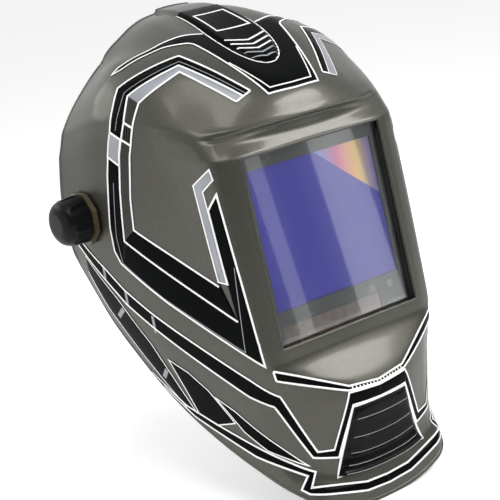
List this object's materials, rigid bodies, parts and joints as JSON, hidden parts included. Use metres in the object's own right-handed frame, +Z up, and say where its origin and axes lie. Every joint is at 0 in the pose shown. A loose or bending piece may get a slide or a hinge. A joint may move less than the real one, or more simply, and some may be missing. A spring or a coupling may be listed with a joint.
{
  "type": "welding helmet",
  "caption": "Auto-darkening welding helmet: angular painted shell with a tall tinted window, louvred chin vent and a ratchet headgear inside.",
  "frame": {"origin": "middle of the shell's pivot axis, between the two tension knobs", "axes": "-Y is the way the wearer looks, +Z is up as worn, the wearer's right is -X"},
  "size_m": [0.255, 0.2843, 0.3032],
  "materials": {
    "shell_paint": "metallic fleck lacquer",
    "vent_black": "gloss black",
    "black_moulding": "moulded nylon",
    "knob_black": "semi-gloss",
    "headband_plastic": "satin moulding",
    "friction_plate": "smoked brown",
    "clear_lens": "clear polycarbonate",
    "case_grey": "satin grey-green",
    "case_back": "satin",
    "filter_blue": "violet-blue coated",
    "shutter_dark": "dark",
    "solar_brown": "amorphous cell",
    "sensor_dark": "lens",
    "board_green": "solder mask",
    "steel": "zinc plated",
    "cell_steel": "nickel",
    "brass": "turned",
    "setting_knobs": "satin",
    "switch_red": "satin",
    "button_grey": "satin",
    "pad_fabric": "knitted towelling",
    "washer_fibre": "vulcanised fibre",
    "pinion_nylon": "nylon"
  },
  "bodies": {
    "headgear": {"headband": "headband_plastic", "sweatband": "pad_fabric", "side_rail_left": "black_moulding", "side_rail_right": "black_moulding", "rail_rivets_left": "steel", "rail_rivets_right": "steel", "crown_strap_left": "headband_plastic", "crown_strap_right": "headband_plastic", "strap_rivet_left": "steel", "strap_rivet_right": "steel", "crown_peg": "headband_plastic"},
    "carriage": {"slider_left": "black_moulding", "slider_right": "black_moulding", "pivot_stud_left": "steel", "pivot_stud_right": "steel", "spacer_disc": "black_moulding", "friction_washer_left": "washer_fibre", "friction_washer_right": "washer_fibre"},
    "tilt_stop": {"tilt_stop": "black_moulding"},
    "shell": {"helmet_shell": "shell_paint", "chin_vent": "vent_black", "pivot_bush_left": "black_moulding", "pivot_bush_right": "black_moulding", "friction_plate_left": "friction_plate", "friction_plate_right": "friction_plate", "lens_holder": "black_moulding", "front_cover_lens": "clear_lens", "case_front": "case_grey", "case_rear": "case_back", "filter_glass": "filter_blue", "shutter_cell": "shutter_dark", "solar_panel": "solar_brown", "arc_sensors": "sensor_dark", "circuit_board": "board_green", "case_screws": "steel", "inner_cover_lens": "clear_lens"},
    "tray_left": {"battery_tray_left": "black_moulding", "battery_left": "cell_steel"},
    "tray_right": {"battery_tray_right": "black_moulding", "battery_right": "cell_steel"},
    "shade_knob": {"shade_knob": "setting_knobs"},
    "sensitivity_knob": {"sensitivity_knob": "setting_knobs"},
    "delay_knob": {"delay_knob": "setting_knobs"},
    "grind_switch": {"grind_switch": "switch_red"},
    "test_button": {"test_button": "button_grey"},
    "latch_left": {"latch_left": "black_moulding"},
    "latch_right": {"latch_right": "black_moulding"},
    "knob_left": {"tension_knob_left": "knob_black", "knob_insert_left": "brass"},
    "knob_right": {"tension_knob_right": "knob_black", "knob_insert_right": "brass"},
    "rear_unit": {"rear_band": "headband_plastic", "ratchet_housing": "headband_plastic", "ratchet_cover": "headband_plastic", "housing_screws": "steel", "rear_pad": "pad_fabric"},
    "ratchet": {"pinion": "pinion_nylon", "ratchet_knob": "knob_black"}
  },
  "joints": [
    {"name": "fore_aft", "type": "slide", "parent": "headgear", "child": "carriage", "axis": [0, -1, 0], "range_m": [0, 0.02]},
    {"name": "flip", "type": "hinge", "parent": "carriage", "child": "shell", "pos_m": [0, 0, 0], "axis": [-1, 0, 0], "range_deg": [0, 70]},
    {"name": "tilt_set", "type": "hinge", "parent": "carriage", "child": "tilt_stop", "pos_m": [0, 0, 0], "axis": [1, 0, 0], "range_deg": [-12, 24]},
    {"name": "tension_left", "type": "hinge", "parent": "carriage", "child": "knob_left", "pos_m": [0.118, 0, 0], "axis": [1, 0, 0], "range_deg": [0, 360]},
    {"name": "tension_right", "type": "hinge", "parent": "carriage", "child": "knob_right", "pos_m": [-0.118, 0, 0], "axis": [-1, 0, 0], "range_deg": [0, 360]},
    {"name": "rear_fit", "type": "slide", "parent": "headgear", "child": "rear_unit", "axis": [0, -0.9511, 0.309], "range_m": [-0.012, 0.012]},
    {"name": "ratchet_turn", "type": "hinge", "parent": "rear_unit", "child": "ratchet", "pos_m": [0, 0.12186, -0.03245], "axis": [0, 0.9511, -0.309], "range_deg": [-140, 140]},
    {"name": "tray_left_pull", "type": "slide", "parent": "shell", "child": "tray_left", "axis": [0, -0.1567, -0.9876], "range_m": [0, 0.026]},
    {"name": "tray_right_pull", "type": "slide", "parent": "shell", "child": "tray_right", "axis": [0, -0.1567, -0.9876], "range_m": [0, 0.026]},
    {"name": "shade_turn", "type": "hinge", "parent": "shell", "child": "shade_knob", "pos_m": [0, -0.1044, -0.08038], "axis": [0, 0.9876, -0.1567], "range_deg": [0, 270]},
    {"name": "sensitivity_turn", "type": "hinge", "parent": "shell", "child": "sensitivity_knob", "pos_m": [-0.017, -0.1044, -0.08038], "axis": [0, 0.9876, -0.1567], "range_deg": [0, 270]},
    {"name": "delay_turn", "type": "hinge", "parent": "shell", "child": "delay_knob", "pos_m": [0.017, -0.1044, -0.08038], "axis": [0, 0.9876, -0.1567], "range_deg": [0, 270]},
    {"name": "grind_select", "type": "slide", "parent": "shell", "child": "grind_switch", "axis": [1, 0, 0], "range_m": [0, 0.005]},
    {"name": "test_press", "type": "slide", "parent": "shell", "child": "test_button", "axis": [0, -0.9876, 0.1567], "range_m": [0, 0.0012], "stiffness_N_per_m": 200, "springref_m": -0.0003},
    {"name": "latch_left_open", "type": "slide", "parent": "shell", "child": "latch_left", "axis": [1, 0, 0], "range_m": [0, 0.003], "stiffness_N_per_m": 300, "springref_m": -0.001},
    {"name": "latch_right_open", "type": "slide", "parent": "shell", "child": "latch_right", "axis": [-1, 0, 0], "range_m": [0, 0.003], "stiffness_N_per_m": 300, "springref_m": -0.001}
  ],
  "couplings": [
    {"joint": "ratchet_turn", "follows": "rear_fit", "rad_per_m": -200}
  ]
}
